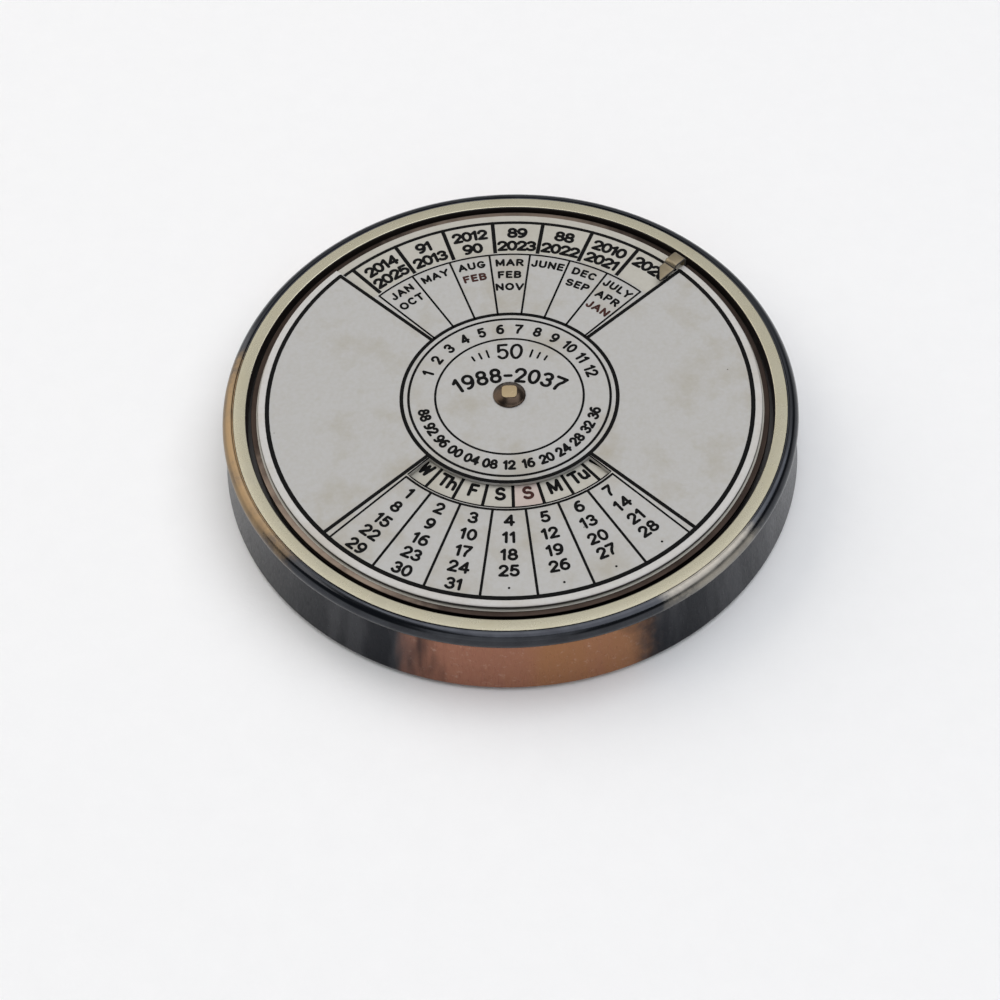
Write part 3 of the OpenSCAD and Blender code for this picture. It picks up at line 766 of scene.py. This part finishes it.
# Strokes of each sign on a cap height of 1: width, then lists of points; a closed stroke ends where it starts
stem = [(0.04, 0), (0.04, 1)]
signs = {
    "0": (0.62, [bow((0.31, 0.5), (0.29, 0.5), 0, 360, 24)]),
    "1": (0.34, [[(0.02, 0.78), (0.24, 1)], [(0.24, 1), (0.24, 0)]]),
    "2": (0.60, [bow((0.3, 0.71), (0.27, 0.29), 170, -28, 14) + [(0.03, 0)], [(0.03, 0), (0.59, 0)]]),
    "3": (0.58, [bow((0.28, 0.755), (0.25, 0.245), 155, -90, 12),
                 bow((0.28, 0.265), (0.29, 0.265), 90, -155, 12)]),
    "4": (0.66, [[(0.5, 0), (0.5, 1)], [(0.5, 1), (0.02, 0.28)], [(0.02, 0.28), (0.66, 0.28)]]),
    "5": (0.60, [[(0.54, 1), (0.13, 1)], [(0.13, 1), (0.07, 0.52)],
                 [(0.07, 0.52)] + bow((0.29, 0.32), (0.29, 0.32), 118, -150, 14)]),
    "6": (0.62, [bow((0.31, 0.31), (0.28, 0.31), 0, 360, 22), bow((0.43, 0.38), (0.40, 0.62), 78, 182, 12)]),
    "7": (0.58, [[(0.0, 1), (0.56, 1)], [(0.56, 1)] + bow((0.78, 0.02), (0.6, 0.82), 128, 180, 6)]),
    "8": (0.62, [bow((0.31, 0.755), (0.235, 0.245), -90, 270, 20),
                 bow((0.31, 0.265), (0.285, 0.265), 90, 450, 22)]),
    "A": (0.74, [[(0, 0), (0.37, 1)], [(0.37, 1), (0.74, 0)], [(0.12, 0.32), (0.62, 0.32)]]),
    "B": (0.64, [stem, [(0.04, 1), (0.34, 1)] + bow((0.34, 0.77), (0.22, 0.23), 90, -90, 8)
                 + [(0.04, 0.54)],
                 [(0.34, 0.54)] + bow((0.34, 0.27), (0.27, 0.27), 90, -90, 8) + [(0.04, 0)]]),
    "C": (0.68, [bow((0.37, 0.5), (0.35, 0.5), 48, 312, 18)]),
    "D": (0.68, [stem, [(0.04, 1), (0.26, 1)] + bow((0.26, 0.5), (0.4, 0.5), 90, -90, 14)
                 + [(0.04, 0)]]),
    "E": (0.54, [stem, [(0.04, 1), (0.52, 1)], [(0.04, 0.52), (0.46, 0.52)], [(0.04, 0), (0.52, 0)]]),
    "F": (0.52, [stem, [(0.04, 1), (0.52, 1)], [(0.04, 0.52), (0.44, 0.52)]]),
    "G": (0.72, [bow((0.37, 0.5), (0.35, 0.5), 50, 350, 20), [(0.71, 0.42), (0.42, 0.42)]]),
    "J": (0.48, [[(0.44, 1), (0.44, 0.27)] + bow((0.23, 0.25), (0.21, 0.25), 0, -175, 10)]),
    "L": (0.50, [[(0.04, 1), (0.04, 0)], [(0.04, 0), (0.5, 0)]]),
    "M": (0.82, [stem, [(0.04, 1), (0.41, 0.15)], [(0.41, 0.15), (0.78, 1)], [(0.78, 1), (0.78, 0)]]),
    "N": (0.70, [stem, [(0.04, 1), (0.66, 0)], [(0.66, 0), (0.66, 1)]]),
    "O": (0.76, [bow((0.38, 0.5), (0.36, 0.5), 0, 360, 26)]),
    "P": (0.62, [stem, [(0.04, 1), (0.32, 1)] + bow((0.32, 0.74), (0.27, 0.26), 90, -90, 10)
                 + [(0.04, 0.48)]]),
    "R": (0.66, [stem, [(0.04, 1), (0.32, 1)] + bow((0.32, 0.75), (0.27, 0.25), 90, -90, 10)
                 + [(0.04, 0.5)], [(0.32, 0.5), (0.64, 0)]]),
    "S": (0.64, [bow((0.32, 0.745), (0.27, 0.255), 32, 270, 12),
                 bow((0.32, 0.26), (0.3, 0.26), 90, -148, 12)]),
    "T": (0.64, [[(0, 1), (0.64, 1)], [(0.32, 1), (0.32, 0)]]),
    "U": (0.68, [[(0.04, 1), (0.04, 0.32)] + bow((0.34, 0.3), (0.3, 0.3), 180, 360, 12) + [(0.64, 1)]]),
    "V": (0.70, [[(0, 1), (0.35, 0)], [(0.35, 0), (0.7, 1)]]),
    "W": (0.76, [[(0, 1), (0.19, 0)], [(0.19, 0), (0.38, 0.85)], [(0.38, 0.85), (0.57, 0)],
                 [(0.57, 0), (0.76, 1)]]),
    "Y": (0.68, [[(0, 1), (0.34, 0.48)], [(0.68, 1), (0.34, 0.48)], [(0.34, 0.48), (0.34, 0)]]),
    "h": (0.54, [stem, [(0.04, 0.4)] + bow((0.27, 0.4), (0.23, 0.26), 180, 0, 8) + [(0.5, 0)]]),
    "u": (0.54, [[(0.04, 0.66), (0.04, 0.26)] + bow((0.27, 0.26), (0.23, 0.26), 180, 360, 8) + [(0.5, 0.26)],
                 [(0.5, 0.66), (0.5, 0)]]),
    "-": (0.46, [[(0.04, 0.45), (0.42, 0.45)]]),
}
nineWidth, sixStrokes = signs["6"]
signs["9"] = (nineWidth, [[(nineWidth - x, 1 - y) for x, y in stroke] for stroke in sixStrokes])

ink = {"sunk": 0.01, "high": 0.02, "step": 0.0025, "steps": 6}


def newPrint(surface):
    return {"surface": surface, "points": [], "faces": [], "strokes": 0}


def drawBand(sheet, sides, closed=False, level=None):
    # a low closed ridge of ink between pairs of points; touching bands stand at slightly different heights
    lift = ink["high"] + ink["step"] * ((sheet["strokes"] if level is None else level) % ink["steps"])
    sheet["strokes"] += 1
    start, count = len(sheet["points"]), len(sides)
    for pair in sides:
        for height in (-ink["sunk"], lift):
            sheet["points"] += [(x, y, sheet["surface"] + height) for x, y in pair]
    for k in range(count if closed else count - 1):
        a, b = start + 4 * k, start + 4 * ((k + 1) % count)
        for low, high in ((0, 1), (1, 3), (3, 2), (2, 0)):
            sheet["faces"].append([a + low, a + high, b + high, b + low])
    if not closed:
        last = start + 4 * (count - 1)
        sheet["faces"] += [[start, start + 2, start + 3, start + 1], [last, last + 1, last + 3, last + 2]]


def drawStroke(sheet, line, width, level=None):
    # a line of even width with round ends
    closed = math.dist(line[0], line[-1]) < 1e-6
    if closed:
        line = line[:-1]
    half = width / 2
    sections = []
    for index, here in enumerate(line):
        before = line[index - 1] if closed or index else here
        after = line[(index + 1) % len(line)] if closed or index < len(line) - 1 else here
        along = (Vector(after) - Vector(before)).normalized()
        sections.append((Vector(here), along, half))
    if not closed:
        for end, sign in ((0, -1), (-1, 1)):
            here, along, _ = sections[end]
            cap = [(here + along * sign * half * math.sin(t), along, half * math.cos(t))
                   for t in (0.5, 0.95, 1.3)]
            sections = cap[::-1] + sections if sign < 0 else sections + cap
    sides = []
    for middle, along, reach in sections:
        across = Vector((-along.y, along.x)) * reach
        sides.append((tuple(middle + across), tuple(middle - across)))
    drawBand(sheet, sides, closed, level)


def arcLine(radius, start, end, gap=2.5):
    steps = max(2, round(abs(end - start) / gap))
    return [polar(radius, start + (end - start) * k / steps) for k in range(steps + 1)]


def drawSpoke(sheet, near, far, degrees, width, level=None, lean=0, centre=(0, 0)):
    # a straight line outwards, which may lean by some degrees at its far end
    drawStroke(sheet, [polar(near, degrees, centre), polar(far, degrees + lean, centre)], width, level)


def drawText(sheet, text, radius, middle, height, weight, spacing=0.24, squeeze=1, inward=False,
             centre=(0, 0)):
    # signs along an arc through their middles: tops point away from the centre, or to it if inward
    widths = [signs[letter][0] * squeeze for letter in text]
    length = sum(widths) + spacing * (len(text) - 1)
    cursor = -length / 2
    way = 1 if inward else -1
    for letter, width in zip(text, widths):
        for stroke in signs[letter][1]:
            line = []
            for x, y in stroke:
                along = (cursor + x * squeeze) * height / radius
                reach = radius - way * (y - 0.5) * height
                line.append(polar(reach, middle + way * math.degrees(along), centre))
            drawStroke(sheet, line, weight)
        cursor += width + spacing


def addPrint(name, sheet, material, body, slot):
    addPiece(name, sheet["points"], sheet["faces"], [material], body, slot, (), 40)


columns = 7
cell = 90 / columns
calendarYears = list(range(1988, 2038))
facePrint = {
    "rings": [(9.75, 0.3), (13.27, 0.34), (14.2, 0.5)],  # radius, line width
    "outerArc": (31.85, 0.58), "datesArc": (18.57, 0.3), "monthsArc": (25.25, 0.26),
    "thinBorder": (45, 0.27), "heavyBorder": ((46.9, 47.2), 0.5), "windowLine": 0.2, "windowLap": 0.4,
    "columnLine": 0.34, "monthLine": 0.28, "dot": 0.3, "dotLength": 0.02,
    "dateRows": [20.2, 22.8, 25.4, 27.8, 30.35],
    "dates": {"height": 1.42, "weight": 0.38, "spacing": 0.26, "squeeze": 1.15, "inward": True},
    "monthRows": [23.7, 21.45, 19.2],
    "monthNames": {"height": 1.02, "weight": 0.33, "spacing": 0.42, "squeeze": 1.25},
    "months": [["JAN", "OCT"], ["MAY"], ["AUG", "FEB*"], ["MAR", "FEB", "NOV"], ["JUNE"],
               ["DEC", "SEP"], ["JULY", "APR", "JAN*"]],  # a star marks the red ones, for leap years
}
ringText = {
    "radius": 11.5, "monthSpan": (160, 20), "month": {"height": 1.35, "weight": 0.36},
    "leapSpan": (196, 344), "leap": {"height": 1.215, "weight": 0.36, "spacing": 0.2, "inward": True},
}
centreText = {
    "numberArc": (9.95, (0, -2.39)), "number": {"height": 2.3, "weight": 0.4, "spacing": 0.2},
    "tick": 1.2, "tickWidth": 0.28, "tickAngles": (17, 23, 29),
    "spanArc": (13.9, (0, -10.45)), "span": {"height": 2.1, "weight": 0.46, "spacing": 0.26},
}


def printFace():
    black, red = newPrint(face["top"]), newPrint(face["top"])
    for radius, width in facePrint["rings"]:
        drawStroke(black, arcLine(radius, 0, 360), width)
    ringReach = facePrint["rings"][-1][0]
    outer, outerWidth = facePrint["outerArc"]
    datesFrom, datesWidth = facePrint["datesArc"]
    monthsTo, monthsWidth = facePrint["monthsArc"]
    (heavyIn, heavyOut), heavyWidth = facePrint["heavyBorder"]
    drawStroke(black, arcLine(outer, 90 + heavyOut, 450 - heavyOut), outerWidth, 5)
    drawStroke(black, arcLine(datesFrom, 225, 315), datesWidth, 4)
    drawStroke(black, arcLine(monthsTo, 45, 135), monthsWidth, 4)
    width = facePrint["windowLine"]
    radius, half = face["window"][1] + width / 2, face["windowHalf"] + facePrint["windowLap"]
    drawStroke(black, [polar(ringReach, 270 - half)] + arcLine(radius, 270 - half, 270 + half)
               + [polar(ringReach, 270 + half)], width, 1)
    thin, thinWidth = facePrint["thinBorder"]
    for side in (-1, 1):
        drawSpoke(black, ringReach, outer, 90 + side * heavyIn, heavyWidth, 3, side * (heavyOut - heavyIn))
        drawSpoke(black, ringReach, outer, 270 + side * heavyIn, heavyWidth, 3)
        drawSpoke(black, ringReach, monthsTo, 90 + side * thin, thinWidth, 2)
        drawSpoke(black, datesFrom, outer, 270 + side * thin, thinWidth, 2)
    for k in range(1, columns):
        drawSpoke(black, datesFrom, outer, 225 + k * cell, facePrint["columnLine"], 2)
        drawSpoke(black, ringReach, monthsTo, 45 + k * cell, facePrint["monthLine"], 2)
    for day in range(1, 36):  # the cells after the last date hold a dot
        middle = 225 + ((day - 1) % columns + 0.5) * cell
        radius = facePrint["dateRows"][(day - 1) // columns]
        if day <= 31:
            drawText(black, str(day), radius, middle, **facePrint["dates"])
        else:
            x, y = polar(radius, middle)
            drawStroke(black, [(x, y), (x + facePrint["dotLength"], y)], facePrint["dot"])
    for column, names in enumerate(facePrint["months"]):
        middle = 135 - (column + 0.5) * cell
        for radius, name in zip(facePrint["monthRows"], names):
            sheet = red if "*" in name else black
            drawText(sheet, name.strip("*"), radius, middle, **facePrint["monthNames"])
    printRing(black)
    printCentre(black)
    addPrint("facePrintBlack", black, blackInk, "case", "silvered_face")
    addPrint("facePrintRed", red, redInk, "case", "silvered_face")


def printRing(sheet):
    # the numbers of the months above, and the last two digits of the leap years below
    months = [str(month) for month in range(1, 13)]
    leaps = [f"{year % 100:02d}" for year in calendarYears if year % 4 == 0]
    for kind, texts in (("month", months), ("leap", leaps)):
        start, end = ringText[kind + "Span"]
        for index, text in enumerate(texts):
            middle = start + (end - start) * index / (len(texts) - 1)
            drawText(sheet, text, ringText["radius"], middle, **ringText[kind])


def printCentre(sheet):
    radius, centre = centreText["numberArc"]
    drawText(sheet, str(len(calendarYears)), radius, 90, centre=centre, **centreText["number"])
    for side in (-1, 1):  # ticks to each side of the number, shorter outwards
        for index, degrees in enumerate(centreText["tickAngles"]):
            half = centreText["tick"] * (1 - 0.2 * index) / 2
            drawSpoke(sheet, radius - half, radius + half, 90 + side * degrees, centreText["tickWidth"],
                      centre=centre)
    radius, centre = centreText["spanArc"]
    span = f"{calendarYears[0]}-{calendarYears[-1]}"
    drawText(sheet, span, radius, 90, centre=centre, **centreText["span"])


discPrint = {
    "yearTurn": -2.0, "yearArc": (32.0, 0.48), "yearLines": (24.7, 0.54), "yearRows": (30.0, 27.55),
    "years": {"height": 1.5, "weight": 0.46, "spacing": 0.16, "squeeze": 1.22},
    "weekdayTurn": -4.7, "weekdayShift": 0.5, "weekdayRadius": 15.6, "weekdayBand": (14.0, 18.6),
    "weekdayLine": 0.42, "sundaySunk": 0.015,
    "weekdays": ["W", "Th", "F", "S", "S*", "M", "Tu"],  # the star marks Sunday
    "letters": {"height": 1.66, "weight": 0.44, "spacing": 0.12, "squeeze": 1.05, "inward": True},
    # outer and inner year of the columns in and beside the notch
    "shown": {0: (2014, 2025), 1: (1991, 2013), 2: (2012, 1990), 3: (1989, 2023), 4: (1988, 2022),
              5: (2010, 2021), 6: (2020, None), 27: (1998, 1992)},
}


def yearKind(year):
    # the weekday of 1 January, Sunday being 0, and one more in a leap year
    first = date(year, 1, 1).isoweekday() % 7
    return (first + (year % 4 == 0)) % 7


def yearColumns():
    # 28 columns clockwise, each with room for two years of the kind that fits over the months
    filled = {column: list(years) for column, years in discPrint["shown"].items()}
    used = {year for years in filled.values() for year in years}
    for year in calendarYears:
        if year in used:
            continue
        fitting = [c for c in range(4 * columns) if (3 - c) % 7 == yearKind(year)]
        room = [c for c in fitting if len(filled.get(c, [])) < 2]
        emptiest = min(room, key=lambda c: (len(filled.get(c, [])), c))
        filled.setdefault(emptiest, []).append(year)
    return filled


def printDisc():
    years, week, reds = (newPrint(disc["top"]) for _ in range(3))
    sundays = newPrint(disc["top"] - discPrint["sundaySunk"])
    outer, width = discPrint["yearArc"]
    drawStroke(years, arcLine(outer, 0, 360), width, 5)
    for column, pair in yearColumns().items():
        middle = 135 - (column + 0.5) * cell + discPrint["yearTurn"]
        for radius, year in zip(discPrint["yearRows"], pair):
            if year is not None:
                text = str(year) if year >= 2000 else str(year % 100)
                drawText(years, text, radius, middle, **discPrint["years"])
    inner, lineWidth = discPrint["yearLines"]
    low, high = discPrint["weekdayBand"]
    for column in range(4 * columns):
        drawSpoke(years, inner, outer, 135 - column * cell + discPrint["yearTurn"], lineWidth, 2)
        edge = 225 + column * cell + discPrint["weekdayTurn"]
        middle = edge + cell / 2 + discPrint["weekdayShift"]
        drawSpoke(week, low, high, edge, discPrint["weekdayLine"], 2)
        name = discPrint["weekdays"][column % columns]
        sheet = reds if "*" in name else week
        drawText(sheet, name.strip("*"), discPrint["weekdayRadius"], middle, **discPrint["letters"])
        if "*" in name:
            across = [edge + cell * k / 6 for k in range(7)]
            drawBand(sundays, [(polar(high, degrees), polar(low, degrees)) for degrees in across])
    addPrint("yearPrint", years, blackInk, "disc", "cream_disc")
    addPrint("weekdayPrint", week, blackInk, "disc", "cream_disc")
    addPrint("sundayCells", sundays, sundayEnamel, "disc", "cream_disc")
    addPrint("sundayLetters", reds, redInk, "disc", "cream_disc")


printFace()
printDisc()
print("dial printed")
